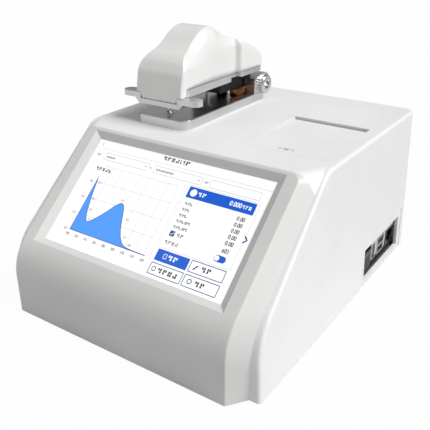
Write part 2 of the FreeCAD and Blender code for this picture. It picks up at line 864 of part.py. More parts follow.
def hinge_caps():
    """Large knurled screw heads that clamp the pin from both ends."""
    z = height + pin_up
    x = arm_x + plate_half
    head = rod_x(x, x + 3.6, pin_y, z, cap_radius)
    head = head.makeChamfer(0.7, edges_where(head, lambda b: b.XMin > x + 3.5 and b.ZLength > 10))
    for step in range(24):
        turn = 2 * math.pi * step / 24
        reach = cap_radius + 0.3
        notch = rod_x(x - 1, x + 5, pin_y + reach * math.cos(turn), z + reach * math.sin(turn), 0.8)
        head = head.cut(notch)
    corners = []
    for step in range(13):
        turn = step * math.pi / 6
        reach = (5.0, 3.4)[step % 2]
        corners.append(V(x + 1.4, pin_y + reach * math.cos(turn), z + reach * math.sin(turn)))
    socket = Part.Face(Part.makePolygon(corners)).extrude(V(5, 0, 0))
    head = head.cut(socket)
    return [head, mirrored(head, arm_x)]


def sample_pedestal():
    low = height + plate_thick
    body = rod_z(arm_x, sample_y, height - 12, low + 0.8, 4.0)
    cone = Part.makeCone(3.0, tip_radius, 2.0, V(arm_x, sample_y, low + 0.8))
    return body.fuse(cone).fuse(rod_z(arm_x, sample_y, low + 2.8, height + 13.4, tip_radius))


def stop_posts():
    low = height + plate_thick
    posts = []
    for side in (-1, 1):
        x = arm_x + side * 11.5
        post = rod_z(x, 195.4, low, height + knuckle_low - 0.4, 1.2)
        posts.append(post.fuse(rod_z(x, 195.4, low, low + 0.8, 2.0)))
    return posts


def flex_ribbon():
    """Copper ribbon in three nested layers, folded forward from its clamp over the slot."""
    low = height + plate_thick
    thick = 0.5
    left = arm_x + ribbon_left
    right = arm_x + ribbon_right
    ribbon = block(left, right, 209.7, 212.2, low, low + 4.6)
    for level in range(3):
        front = 198.4 + 1.8 * level
        bottom = low + 0.8 * level
        top = low + 5.6 - 0.8 * level
        outline = [(front, bottom, 1), (210, bottom, 0), (210, bottom + thick, 0)]
        outline += [(front + thick, bottom + thick, 0.5), (front + thick, top - thick, 0.5)]
        outline += [(211, top - thick, 0), (211, top, 0), (front, top, 1)]
        ribbon = ribbon.fuse(prism_x(outline, left, right))
    return ribbon


def path_actuator():
    """Short linear actuator hung under the top of the case."""
    top = height - wall
    flange = slab(arm_x - 14, arm_x + 14, plunger_y - 10, plunger_y + 10, top - 1.5, top, 4)
    can = rod_z(arm_x, plunger_y, top - 22, top - 1.5, 9)
    return flange.fuse(can).cut(rod_z(arm_x, plunger_y, top - 19, top + 1, 4.2))


def actuator_rod():
    """Core and thin rod that carry the plunger up and down."""
    top = height - wall
    core = rod_z(arm_x, plunger_y, top - 17, top - 6, 3.8)
    return core.fuse(rod_z(arm_x, plunger_y, top - 6, plunger_low, 1.2))


def path_plunger():
    low = plunger_low
    tip = height + knuckle_low - part_gap
    stem = rod_z(arm_x, plunger_y, low, tip - 1, plunger_radius)
    return stem.fuse(Part.makeCone(plunger_radius, plunger_radius - 0.4, 1, V(arm_x, plunger_y, tip - 1)))


def arm_frame():
    low = height + deck_low
    high = height + deck_high
    tab_top = height + 24.3
    deck = slab(arm_x - deck_half, arm_x + deck_half, deck_front, 150, low, high, 3)
    deck = deck.fuse(slab(arm_x - deck_half, arm_x + deck_half, 135, deck_back, low, high, 7))
    spine = block(arm_x - 22.5, arm_x + 22.5, deck_back - 8, hood_step_y + 4, high - 2.5, high)
    half = hood_half_back + 0.8
    rear = slab(arm_x - half, arm_x + half, hood_step_y - 1, 223, high - 2.5, high + 1.2, 2)
    bar = slab(arm_x - 19.5, arm_x + 19.5, 114.8, 121.5, height + bar_low, height + 20.0, 1.5)
    frame = deck.fuse([spine, rear, bar])
    riser_outline = [(arm_x + 17.3, height + bar_low, 0), (arm_x + 19.5, height + bar_low, 0)]
    riser_outline += [(arm_x + 23, height + 20, 0)]
    riser_outline += [(arm_x + 23, tab_top, 0), (arm_x + 17.3, tab_top, 0)]
    riser = prism_y(riser_outline, 115.2, 125.8)
    neck = block(arm_x + 10, arm_x + 19.5, 118, 125, height + 19, high)
    tab = block(arm_x + 18, arm_x + 31.4, 115.2, 125.8, height + 20, tab_top)
    tab = tab.fuse(rod_z(arm_x + 31.4, 120.5, height + 20, tab_top, 5.3))
    for piece in (riser, neck, tab):
        frame = frame.fuse([piece, mirrored(piece, arm_x)])
    # the hood's front skirt drops between the tabs
    frame = frame.cut(block(arm_x - 17.3, arm_x + 17.3, 113, 118, height + 20, high + 1))
    frame = frame.cut(rod_z(arm_x, sample_y, low - 1, high + 1, 2.5))
    for x, y in knuckle_screw_places():
        frame = frame.cut(rod_z(x, y, low, high + 2, 1.4))
    return frame.removeSplitter()


def hood_outline():
    """Side outline (y, height over the case) from the front edge over the dome to the back."""
    front = [(115.2, 20.3), (115.6, 30), (117.6, 40), (122.2, 49), (132.0, 55.6), (142.0, 62)]
    crest = [(150.5, 67.6), (159.0, 70.5), (167.0, 70), (174.5, 65.5), (182, 60.9), (191, 57.3)]
    back = [(201, 53.9), (210, 49.9), (217.5, 46.2)]
    return front + crest + back


def hood_side(inset):
    """Face inside the side outline, drawn in by inset; its bottom is left open for the wall."""
    points = hood_outline()
    drawn = []
    for index, (y, up) in enumerate(points):
        before = points[max(index - 1, 0)]
        after = points[min(index + 1, len(points) - 1)]
        along = V(after[0] - before[0], after[1] - before[1], 0).normalize()
        drawn.append(V(0, y + along.y * inset, height + up - along.x * inset))
    curve = Part.BSplineCurve()
    curve.interpolate(drawn)
    start = drawn[0]
    low = height + (deck_high + 1.2 if inset == 0 else 10)
    corners = [drawn[-1], V(0, 225.3 - inset, height + 41.8 - inset)]
    corners += [V(0, hood_back - inset, height + 37.4 - inset)]
    corners += [V(0, hood_back - inset, low)]
    if inset == 0:
        corners += [V(0, start.y + 8, low), V(0, start.y + 8, start.z)]
    else:
        corners += [V(0, start.y, low)]
    corners.append(start)
    edges = [curve.toShape()]
    edges += [Part.LineSegment(a, b).toShape() for a, b in zip(corners, corners[1:])]
    return Part.Face(Part.Wire(edges))


def hood_plan(inset):
    half = hood_half - inset
    rear = hood_half_back - inset
    step = hood_step_y + inset
    right = [(arm_x + half, 100, 0), (arm_x + half, step, 3.0)]
    right += [(arm_x + rear, step, 1.2), (arm_x + rear, 240, 0)]
    left = [(2 * arm_x - x, y, r) for x, y, r in reversed(right)]
    return prism_z(right + left, height, height + 90)


def hood_solid(inset):
    body = hood_side(inset).extrude(V(80, 0, 0))
    body.translate(V(arm_x - 40, 0, 0))
    return body.common(hood_plan(inset))


def arm_hood():
    outer = hood_solid(0)
    # the skirt below the deck is only as wide as the notch between the tabs
    skirt_room = block(arm_x - 30, arm_x + 30, 100, 130, height, height + 24.6)
    notch = block(arm_x - 17.0, arm_x + 17.0, 100, 117.8, height, height + 24.6)
    deck_room = block(arm_x - 30, arm_x + 30, deck_front - 0.2, 240, height, height + deck_high + 0.2)
    outer = outer.cut(skirt_room.cut(notch)).cut(deck_room)
    return largest(outer.cut(hood_solid(hood_wall)))


def knuckle():
    """Block that hangs the arm on the pin: a barrel and a body under the deck and flange."""
    z = height + pin_up
    top = height + deck_high - 2.5
    half = cheek_in - part_gap - 0.2
    low = height + knuckle_low
    under = height + deck_low
    outline = [(knuckle_front, low, 1.5), (pin_y, low, 0), (pin_y, z + 5.5, 0)]
    outline += [(224.5, top, 1), (deck_back, top, 0), (deck_back, under, 0), (knuckle_front, under, 0)]
    body = prism_x(outline, arm_x - half, arm_x + half)
    body = body.fuse(rod_x(arm_x - half, arm_x + half, pin_y, z, 5.6))
    body = body.cut(rod_x(arm_x - 40, arm_x + 40, pin_y, z, 4.2))
    for x, y in knuckle_screw_places():
        body = body.cut(rod_z(x, y, top - 4, top + 1, 1.4))
    return body.cut(strike_pad())


def knuckle_screw_places():
    return [(arm_x + side * 10, y) for side in (-1, 1) for y in (206, 217)]


def hinge_bushes():
    z = height + pin_up
    bushes = []
    for side in (-1, 1):
        outer = arm_x + side * (cheek_in - part_gap - 0.2)
        inner = arm_x + side * 6
        tube = rod_x(min(inner, outer), max(inner, outer), pin_y, z, 4.2)
        bushes.append(tube.cut(rod_x(arm_x - 30, arm_x + 30, pin_y, z, pin_radius + run_gap)))
    return bushes


def knuckle_screws():
    seat = height + deck_high + 1.2
    screws = []
    for x, y in knuckle_screw_places():
        screws.append(rod_z(x, y, seat, seat + 1.9, 2.6).fuse(rod_z(x, y, seat - 7.7, seat, 1.4)))
    return screws


def upper_pedestal():
    low = height + 14.4
    tip = rod_z(arm_x, sample_y, low, low + 3, tip_radius)
    cone = Part.makeCone(tip_radius, 3.0, 2.5, V(arm_x, sample_y, low + 3))
    neck = rod_z(arm_x, sample_y, low + 5.5, height + deck_low, 3.0)
    core = rod_z(arm_x, sample_y, height + deck_low, height + deck_high + 4, 2.5)
    return tip.fuse([cone, neck, core])


def flash_lamp():
    low = height + deck_high
    body = slab(arm_x - 13, arm_x + 13, sample_y + 4, sample_y + 44, low, low + 16, 2)
    nose = block(arm_x - 7, arm_x + 7, sample_y - 5, sample_y + 4, low + 4, low + 12)
    return body.fuse(nose)


def strike_pad():
    """Steel pad let into the underside of the knuckle, over the plunger."""
    low = height + knuckle_low
    return rod_z(arm_x, plunger_y, low, low + 1, 3.5)


def main():
    os.makedirs("parts", exist_ok=True)
    pad = pad_outer()
    case = case_outer()
    save("housing_shell", housing_shell(pad, case))
    save("front_fascia", front_fascia(pad, case))
    save("base_pan", base_pan())
    save("rubber_feet", rubber_feet())
    save("base_screws", base_screws())
    save("display_glass", display_glass())
    save("display_gasket", display_gasket())
    save("lcd_module", lcd_module())
    save("display_frame", display_frame())
    save("display_screws", display_screws())
    save("cuvette_lid", cuvette_lid())
    save("lid_magnet", lid_magnet())
    save("lid_pins", lid_pins())
    save("sample_tray", sample_tray())
    save("tray_keeper", tray_keeper())
    save("cuvette_holder", cuvette_holder())
    save("cuvette_lenses", cuvette_lenses())
    save("cuvette_lamp", cuvette_lamp())
    save("cuvette_fibre", cuvette_fibre())
    save("spectrometer_bench", spectrometer_bench())
    save("detector_fibre", detector_fibre())
    save("mainboard", mainboard())
    save("board_standoffs", board_standoffs())
    save("board_parts", board_parts())
    save("heat_sink", heat_sink())
    save("power_board", power_board())
    save("power_parts", power_parts())
    save("io_panel", io_panel())
    save("panel_screws", panel_screws())
    save("network_jack", network_jack())
    save("usb_stack", usb_stack())
    save("usb_slim", usb_slim())
    save("port_tongues", port_tongues())
    save("rocker_frame", rocker_frame())
    save("power_rocker", power_rocker())
    save("power_socket", power_socket())
    save("fan_frame", fan_frame())
    save("fan_rotor", fan_rotor())
    save("fan_guard", fan_guard())
    save("fan_screws", fan_screws())
    save("arm_base_plate", arm_base_plate())
    save("plate_screws", plate_screws())
    save("hinge_cheek_left", hinge_cheek(-1))
    save("hinge_cheek_right", hinge_cheek(1))
    save("hinge_pin", hinge_pin())
    save("hinge_caps", hinge_caps())
    save("sample_pedestal", sample_pedestal())
    save("stop_posts", stop_posts())
    save("flex_ribbon", flex_ribbon())
    save("path_actuator", path_actuator())
    save("actuator_rod", actuator_rod())
    save("path_plunger", path_plunger())
    save("arm_frame", arm_frame())
    save("arm_hood", arm_hood())
    save("knuckle", knuckle())
    save("hinge_bushes", hinge_bushes())
    save("knuckle_screws", knuckle_screws())
    save("upper_pedestal", upper_pedestal())
    save("flash_lamp", flash_lamp())
    save("strike_pad", strike_pad())


main()
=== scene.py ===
import bpy
import math
import numpy as np
from mathutils import Matrix, Vector


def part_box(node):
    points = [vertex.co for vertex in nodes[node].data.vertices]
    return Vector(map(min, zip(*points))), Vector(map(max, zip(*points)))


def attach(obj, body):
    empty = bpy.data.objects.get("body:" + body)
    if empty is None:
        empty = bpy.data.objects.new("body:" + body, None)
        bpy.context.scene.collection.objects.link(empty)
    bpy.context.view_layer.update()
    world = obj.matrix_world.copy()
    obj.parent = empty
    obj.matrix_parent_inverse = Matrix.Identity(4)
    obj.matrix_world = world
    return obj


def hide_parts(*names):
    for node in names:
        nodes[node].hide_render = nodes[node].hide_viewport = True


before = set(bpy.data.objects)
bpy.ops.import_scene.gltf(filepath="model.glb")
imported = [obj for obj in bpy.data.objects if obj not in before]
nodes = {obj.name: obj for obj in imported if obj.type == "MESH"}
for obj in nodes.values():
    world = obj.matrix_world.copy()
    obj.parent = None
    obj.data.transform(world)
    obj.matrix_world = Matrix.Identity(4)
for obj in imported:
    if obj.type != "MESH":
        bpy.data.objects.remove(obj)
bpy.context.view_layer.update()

mm = 0.001  # the frame is in metres


class Wire:
    # wraps one output socket, so that shader maths reads as an expression
    def __init__(self, shade, socket):
        self.shade = shade
        self.socket = socket

    def calc(self, operation, *terms):
        return self.shade.node("ShaderNodeMath", {"operation": operation}, dict(enumerate(terms)))

    def __add__(self, other):
        return self.calc("ADD", self, other)

    def __sub__(self, other):
        return self.calc("SUBTRACT", self, other)

    def __mul__(self, other):
        return self.calc("MULTIPLY", self, other)

    def __rsub__(self, other):
        return self.calc("SUBTRACT", other, self)

    def __lt__(self, other):
        return self.calc("LESS_THAN", self, other)

    def __abs__(self):
        return self.calc("ABSOLUTE", self)

    def ramp(self, low, high, atLow=0.0, atHigh=1.0):
        # smooth step from atLow to atHigh while the value goes from low to high
        limits = {"From Min": low, "From Max": high, "To Min": atLow, "To Max": atHigh, "Value": self}
        return self.shade.node("ShaderNodeMapRange", {"interpolation_type": "SMOOTHSTEP"}, limits)

    __radd__ = __add__


class Shade:
    # one material: node() makes any shader node and returns its first output
    def __init__(self, name, owner=None):
        self.material = owner or bpy.data.materials.new(name)
        self.material.use_nodes = True
        self.tree = self.material.node_tree
        self.tree.nodes.clear()
        coords = self.tree.nodes.new("ShaderNodeTexCoord")
        self.place = Wire(self, coords.outputs["Object"])

    def node(self, kind, settings, inputs, output=0):
        made = self.tree.nodes.new(kind)
        for key, value in settings.items():
            setattr(made, key, value)
        for key, value in inputs.items():
            target = made.inputs[key]
            if isinstance(value, Wire):
                self.tree.links.new(value.socket, target)
            else:
                target.default_value = value
        return Wire(self, made.outputs[output] if made.outputs else None)

    def noise(self, scale, detail=3.0, where=None, rough=0.5):
        sockets = {"Vector": where or self.place, "Scale": scale, "Detail": detail, "Roughness": rough}
        return self.node("ShaderNodeTexNoise", {}, sockets)

    def stretched(self, scale, turn=(0, 0, 0)):
        return self.node("ShaderNodeMapping", {}, {"Vector": self.place, "Scale": scale, "Rotation": turn})

    def axis(self, name):
        return self.node("ShaderNodeSeparateXYZ", {}, {"Vector": self.place}, name)

    def blend(self, factor, first, second):
        sockets = {"Factor": factor, 6: first, 7: second}
        return self.node("ShaderNodeMix", {"data_type": "RGBA"}, sockets, 2)

    def bump(self, height, distance, strength):
        # distance is the height of the relief in mm
        sockets = {"Height": height, "Distance": distance * mm, "Strength": strength}
        return self.node("ShaderNodeBump", {}, sockets)

    def finish(self, **sockets):
        names = {key.replace("_", " "): value for key, value in sockets.items()}
        shader = self.node("ShaderNodeBsdfPrincipled", {}, names)
        self.node("ShaderNodeOutputMaterial", {}, {"Surface": shader})
        return self.material


def paler(colour, factor):
    # the colour made paler or darker, with full alpha
    return tuple(min(c * factor, 1.0) for c in colour) + (1.0,)


plasticLooks = {
    "caseWhite": dict(colour=(0.78, 0.78, 0.77), rough=0.42, grain=0.05, spots=950, sway=0.03),
    "fasciaWhite": dict(colour=(0.625, 0.622, 0.61), rough=0.40, grain=0.05, spots=950, sway=0.03),
    "hoodWhite": dict(colour=(0.735, 0.73, 0.715), rough=0.34, grain=0.03, spots=1100, sway=0.03),
    "trayBlack": dict(colour=(0.03, 0.03, 0.032), rough=0.50, grain=0.08, spots=900, sway=0.12),
    "portBlack": dict(colour=(0.012, 0.012, 0.013), rough=0.33, grain=0.03, spots=1200, sway=0.15),
    "footRubber": dict(colour=(0.035, 0.035, 0.034), rough=0.72, grain=0.15, spots=800, sway=0.15),
    "gasketFoam": dict(colour=(0.05, 0.05, 0.05), rough=0.85, grain=0.3, spots=1500, sway=0.2),
    "tongueWhite": dict(colour=(0.80, 0.80, 0.78), rough=0.30, grain=0.01, spots=900, sway=0.04),
    "chipBlack": dict(colour=(0.025, 0.025, 0.027), rough=0.38, grain=0.05, spots=1500, sway=0.2),
}


def plastic(name):
    # moulded plastic: fine spark texture in bump and gloss, slow tone drift over the part
    look = plasticLooks[name]
    s = Shade(name)
    fine = s.noise(look["spots"], 2.0)
    slow = s.noise(14.0, 4.0)
    scuff = s.noise(120.0, 5.0, s.stretched((1.0, 0.35, 1.0), (0.3, 0.5, 0.2)), 0.7)
    darkest = paler(look["colour"], 1 - look["sway"])
    palest = paler(look["colour"], 1 + look["sway"])
    tone = s.blend(slow.ramp(0.3, 0.7), darkest, palest)
    rough = look["rough"] - 0.05 + fine * 0.06 + scuff.ramp(0.62, 0.78) * 0.06
    grain = s.bump(fine, look["grain"], 0.6)
    return s.finish(Base_Color=tone, Roughness=rough, Normal=grain, IOR=1.48)


metalLooks = {
    "armAluminium": dict(colour=(0.70, 0.70, 0.71), rough=0.36, grain=0.02, cut=0.0,
                         lines=(60, 60, 60)),
    "plateAluminium": dict(colour=(0.66, 0.66, 0.67), rough=0.22, grain=0.006, cut=0.06,
                           lines=(900, 12, 900)),
    "cheekAluminium": dict(colour=(0.68, 0.67, 0.66), rough=0.26, grain=0.01, cut=0.06,
                           lines=(900, 20, 300)),
    "steelBright": dict(colour=(0.72, 0.72, 0.72), rough=0.13, grain=0.004, cut=0.04,
                        lines=(200, 200, 40)),
    "screwSteel": dict(colour=(0.50, 0.50, 0.50), rough=0.28, grain=0.01, cut=0.05,
                       lines=(300, 300, 300)),
    "portTin": dict(colour=(0.55, 0.55, 0.56), rough=0.24, grain=0.01, cut=0.05,
                    lines=(40, 600, 600)),
    "panSteel": dict(colour=(0.40, 0.41, 0.42), rough=0.48, grain=0.06, cut=0.04,
                     lines=(500, 500, 500)),
    "sheetSteel": dict(colour=(0.56, 0.56, 0.55), rough=0.34, grain=0.01, cut=0.05,
                       lines=(700, 20, 700)),
    "benchBlack": dict(colour=(0.035, 0.035, 0.037), rough=0.42, grain=0.03, cut=0.05,
                       lines=(400, 400, 400)),
    "fibreSteel": dict(colour=(0.42, 0.42, 0.43), rough=0.33, grain=0.05, cut=0.05,
                       lines=(60, 60, 900)),
    "nickel": dict(colour=(0.66, 0.64, 0.60), rough=0.12, grain=0.003, cut=0.04,
                   lines=(200, 200, 200)),
}


def metal(name):
    # worked metal: drawn lines follow the stretched axes, gloss breaks up along them
    look = metalLooks[name]
    s = Shade(name)
    lines = s.noise(1.0, 4.0, s.stretched(look["lines"]), 0.65)
    slow = s.noise(35.0, 3.0)
    tone = s.blend(slow.ramp(0.25, 0.75), paler(look["colour"], 0.92), paler(look["colour"], 1.06))
    rough = look["rough"] - 0.04 + lines * look["cut"] + slow * 0.08
    grain = s.bump(lines, look["grain"], 0.5)
    return s.finish(Base_Color=tone, Metallic=1.0, Roughness=rough, Normal=grain)


def boardGreen():
    # solder mask with copper pour showing through as paler patches and fine tracks
    trackPitch = 1.2 * mm
    trackHalf = 0.22 * mm
    s = Shade("boardGreen")
    pads = s.node("ShaderNodeTexVoronoi", {}, {"Vector": s.place, "Scale": 260.0})
    along = s.axis("X")
    tracks = abs(along.calc("PINGPONG", along, trackPitch) - trackPitch / 2) < trackHalf
    patch = s.noise(70.0, 2.0).ramp(0.48, 0.52)
    dark = s.blend(patch * tracks, (0.008, 0.075, 0.03, 1), (0.02, 0.16, 0.06, 1))
    tone = s.blend(pads.ramp(0.16, 0.12), dark, (0.55, 0.42, 0.20, 1))
    relief = s.bump(patch, 0.03, 0.5)
    return s.finish(Base_Color=tone, Roughness=0.3 + pads * 0.15, Normal=relief, Coat_Weight=0.4)


def portPlate():
    # tinned sheet whose lowest strip is a black insulating film
    filmTop = 12.2 * mm
    s = Shade("portPlate")
    film = s.axis("Z") < filmTop
    lines = s.noise(1.0, 3.0, s.stretched((40, 500, 500)))
    tone = s.blend(film, (0.72, 0.72, 0.70, 1), (0.012, 0.012, 0.012, 1))
    shine = 0.35 - film * 0.35
    grain = s.bump(lines, 0.01, 0.5)
    return s.finish(Base_Color=tone, Metallic=shine, Roughness=0.34 + lines * 0.1, Normal=grain)


def copperFilm():
    # bare copper with fine lines rolled along it
    s = Shade("copperFilm")
    lines = s.noise(1.0, 3.0, s.stretched((1400, 30, 30)))
    tone = s.blend(lines.ramp(0.35, 0.65), (0.40, 0.15, 0.06, 1), (0.66, 0.30, 0.14, 1))
    grain = s.bump(lines, 0.01, 0.5)
    return s.finish(Base_Color=tone, Metallic=0.75, Roughness=0.26 + lines * 0.12, Normal=grain)


def lensGlass():
    # thin clear glass with a slight haze
    s = Shade("lensGlass")
    haze = s.noise(90.0, 2.0)
    return s.finish(Base_Color=(0.85, 0.93, 0.96, 1), Roughness=0.04 + haze * 0.05, Alpha=0.45, IOR=1.5)


def litInk(name, colour, glow, rough=0.14):
    # one flat colour of the lit display, under glossy glass; a faint cell grid breaks it up
    s = Shade(name)
    cells = s.noise(2600.0, 0.0)
    tone = s.blend(cells.ramp(0.3, 0.7), paler(colour, 0.985), paler(colour, 1.015))
    return s.finish(Base_Color=tone, Roughness=rough + cells * 0.02, Emission_Color=tone,
                    Emission_Strength=glow, IOR=1.5)


looks = {name: plastic(name) for name in plasticLooks}
looks.update({name: metal(name) for name in metalLooks})
looks["boardGreen"] = boardGreen()
looks["portPlate"] = portPlate()
looks["copperFilm"] = copperFilm()
looks["lensGlass"] = lensGlass()
print("materials: %d" % len(looks))

# which finish each machined or moulded node wears
finishes = {
    "caseWhite": ["housing_shell", "cuvette_lid"],
    "fasciaWhite": ["front_fascia"],
    "hoodWhite": ["arm_hood"],
    "trayBlack": ["sample_tray", "hinge_bushes", "fan_frame", "fan_rotor"],
    "portBlack": ["network_jack", "rocker_frame", "power_rocker", "power_socket"],
    "footRubber": ["rubber_feet"],
    "gasketFoam": ["display_gasket"],
    "tongueWhite": ["port_tongues"],
    "chipBlack": ["board_parts", "power_parts", "lcd_module"],
    "armAluminium": ["arm_frame"],
    "plateAluminium": ["arm_base_plate"],
    "cheekAluminium": ["hinge_cheek_left", "hinge_cheek_right"],
    "steelBright": ["hinge_pin", "hinge_caps", "sample_pedestal", "stop_posts", "upper_pedestal",
                    "path_plunger", "strike_pad", "lid_pins", "tray_keeper"],
    "screwSteel": ["base_screws", "display_screws", "panel_screws", "fan_screws", "fan_guard",
                   "plate_screws", "knuckle_screws", "actuator_rod", "board_standoffs"],
    "portTin": ["usb_stack", "usb_slim"],
    "portPlate": ["io_panel"],
    "panSteel": ["base_pan"],
    "sheetSteel": ["display_frame"],
    "benchBlack": ["knuckle", "cuvette_holder", "cuvette_lamp", "spectrometer_bench", "heat_sink",
                   "path_actuator", "flash_lamp"],
    "fibreSteel": ["detector_fibre", "cuvette_fibre"],
    "nickel": ["lid_magnet"],
    "boardGreen": ["mainboard", "power_board"],
    "copperFilm": ["flex_ribbon"],
    "lensGlass": ["cuvette_lenses"],
}


def dress(thing, material):
    thing.data.materials.clear()
    thing.data.materials.append(material)


for look, names in finishes.items():
    for name in names:
        dress(nodes[name], looks[look])
print("finishes: %d nodes" % sum(len(names) for names in finishes.values()))


def newPiece(name, points, faces, material, body, smooth=True):
    mesh = bpy.data.meshes.new(name)
    mesh.from_pydata(points, [], faces)
    mesh.validate()
    mesh.polygons.foreach_set("use_smooth", np.full(len(mesh.polygons), smooth))
    piece = bpy.data.objects.new(name, mesh)
    bpy.context.scene.collection.objects.link(piece)
    mesh.materials.append(material)
    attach(piece, body)
    return piece


def gridFaces(rows, columns, wrap=False):
    # quads of a rows by columns grid; wrap joins the last column to the first
    cells = columns if wrap else columns - 1
    row, left = np.meshgrid(np.arange(rows - 1), np.arange(cells), indexing="ij")
    right = (left + 1) % columns
    here = row * columns
    above = here + columns
    return np.stack([here + left, here + right, above + right, above + left], -1).reshape(-1, 4)


# marks of the lit display lie on the glass, in mm from the middle of the lit area
displayLook = dict(slope=41.3, glassHalf=0.89, left=-77.1, foot=-43.5, wide=154.2, high=87.0, corner=0.6,
                   rule=0.4, digitLean=0.92, digitBold=1.45, digitStep=1.42, pointStep=0.7)
slopeAngle = math.radians(displayLook["slope"])
glassLow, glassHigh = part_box("display_glass")
glassUp = Vector((0, math.cos(slopeAngle), math.sin(slopeAngle)))
glassOut = Vector((0, -math.sin(slopeAngle), math.cos(slopeAngle)))
glassMiddle = (glassLow + glassHigh) / 2
glassFace = glassMiddle + glassOut * (displayLook["glassHalf"] * mm)


def onGlass(flat, lift):
    # a flat mark (x across, y up the slope, in mm) is carried onto the glass, lift mm above it
    flat = np.asarray(flat, float)
    base = np.array(glassFace) + np.array(glassOut) * lift * mm
    across = np.outer(flat[:, 0] * mm, (1, 0, 0))
    return base + across + np.outer(flat[:, 1] * mm, np.array(glassUp))


inkLooks = {
    "inkPaper": dict(colour=(0.91, 0.91, 0.91), glow=0.22),
    "inkBlue": dict(colour=(0.003, 0.095, 0.56), glow=0.22),
    "inkChart": dict(colour=(0.065, 0.29, 0.86), glow=0.22),
    "inkLine": dict(colour=(0.02, 0.07, 0.26), glow=0.15),
    "inkDark": dict(colour=(0.035, 0.035, 0.045), glow=0.05),
    "inkGrey": dict(colour=(0.20, 0.21, 0.24), glow=0.15),
    "inkPale": dict(colour=(0.62, 0.63, 0.66), glow=0.22),
    "inkMark": dict(colour=(0.33, 0.33, 0.33), glow=0.0, rough=0.5),
    "inkWhite": dict(colour=(0.92, 0.95, 1.0), glow=0.2),
}
inks = {name: litInk(name, **look) for name, look in inkLooks.items()}

# height of each piece above the face it lies on, in mm, so that no two layers share a plane
lifts = dict(displayPaper=0.05, displayRules=0.085, chartFill=0.12, buttonFrames=0.12, displayBlue=0.13,
             displayGrey=0.14, displayInk=0.15, chartLine=0.17, displayWhite=0.19, lidMark=0.03)


class Marks:
    # gathers flat polygons of one ink, then makes them one piece
    def __init__(self):
        self.points = []
        self.faces = []

    def polygon(self, outline):
        start = len(self.points)
        self.points += [tuple(p) for p in outline]
        self.faces.append(tuple(range(start, start + len(outline))))

    def band(self, first, second):
        # strip of quads between two lines of the same number of points
        start = len(self.points)
        count = len(first)
        self.points += [tuple(p) for p in first] + [tuple(p) for p in second]
        for i in range(count - 1):
            self.faces.append((start + i, start + i + 1, start + count + i + 1, start + count + i))

    def bar(self, x, y, wide, high, corner=0.0):
        self.polygon(roundBox(x, y, wide, high, corner))

    def frameBox(self, x, y, wide, high, corner, line):
        outer = roundBox(x, y, wide, high, corner)
        inner = roundBox(x + line, y + line, wide - 2 * line, high - 2 * line, max(corner - line, 0.05))
        self.band(outer + outer[:1], inner + inner[:1])

    def stroke(self, path, line):
        # a line of one width: each point is pushed sideways by half the width
        path = np.asarray(path, float)
        along = np.gradient(path, axis=0)
        along /= np.linalg.norm(along, axis=1)[:, None]
        side = np.stack([-along[:, 1], along[:, 0]], 1) * line / 2
        self.band(path - side, path + side)

    def disc(self, x, y, radius, steps=24):
        turn = np.linspace(0, 2 * math.pi, steps, endpoint=False)
        self.polygon(np.stack([x + radius * np.cos(turn), y + radius * np.sin(turn)], 1))

    def ring(self, x, y, radius, line, steps=28):
        turn = np.linspace(0, 2 * math.pi, steps + 1)
        unit = np.stack([np.cos(turn), np.sin(turn)], 1)
        self.band(unit * radius + (x, y), unit * (radius - line) + (x, y))

    def make(self, name, ink, placed=onGlass, body="root"):
        newPiece(name, placed(self.points, lifts[name]), self.faces, inks[ink], body, False)


def roundBox(x, y, wide, high, corner, steps=5):
    # four quarter circles joined, anticlockwise
    corner = max(corner, 0.02)
    points = []
    left, right = x + corner, x + wide - corner
    low, high = y + corner, y + high - corner
    for index, (cx, cy) in enumerate(((right, low), (right, high), (left, high), (left, low))):
        turn = np.linspace(-math.pi / 2, 0, steps) + index * math.pi / 2
        points += [(cx + corner * math.cos(t), cy + corner * math.sin(t)) for t in turn]
    return points


# the stroke of each digit and of the point, in a box 1 wide and 2 high
digitStrokes = {
    "0": [(0, 0.3), (0, 1.7), (0.3, 2), (0.7, 2), (1, 1.7), (1, 0.3), (0.7, 0), (0.3, 0), (0, 0.3)],
    "1": [(0.2, 1.6), (0.6, 2), (0.6, 0)],
    "2": [(0, 1.6), (0.3, 2), (0.75, 2), (1, 1.6), (0.9, 1.1), (0, 0), (1, 0)],
    "3": [(0, 1.9), (1, 1.9), (0.45, 1.15), (0.8, 1.1), (1, 0.7), (0.8, 0.1), (0.3, 0), (0, 0.25)],
    "4": [(0.75, 0), (0.75, 2), (0, 0.6), (1, 0.6)],
    "5": [(0.95, 2), (0.1, 2), (0.05, 1.1), (0.6, 1.25), (1, 0.9), (0.95, 0.3), (0.5, 0), (0, 0.2)],
    "6": [(0.9, 1.9), (0.3, 1.5), (0, 0.8), (0.2, 0.1), (0.7, 0), (1, 0.4), (0.8, 1), (0.1, 0.9)],
    "7": [(0, 2), (1, 2), (0.35, 0)],
    "8": [(0.5, 1.1), (0.1, 1.4), (0.3, 2), (0.75, 2), (0.9, 1.4), (0.5, 1.1), (0, 0.6), (0.25, 0),
          (0.8, 0), (1, 0.6), (0.5, 1.1)],
    "9": [(0.1, 0.05), (0.7, 0.5), (1, 1.2), (0.8, 1.9), (0.3, 2), (0, 1.6), (0.2, 1.1), (0.9, 1.15)],
    ".": [(0.3, 0), (0.3, 0.25)],
}


def number(marks, text, x, y, high, line):
    # digits side by side from x rightwards; a point takes less room than a digit
    look = displayLook
    size = high / 2
    for sign in text:
        flat = np.array(digitStrokes[sign]) * (size * look["digitLean"], size) + (x, y)
        marks.stroke(flat, line * look["digitBold"])
        x += size * (look["pointStep"] if sign == "." else look["digitStep"])


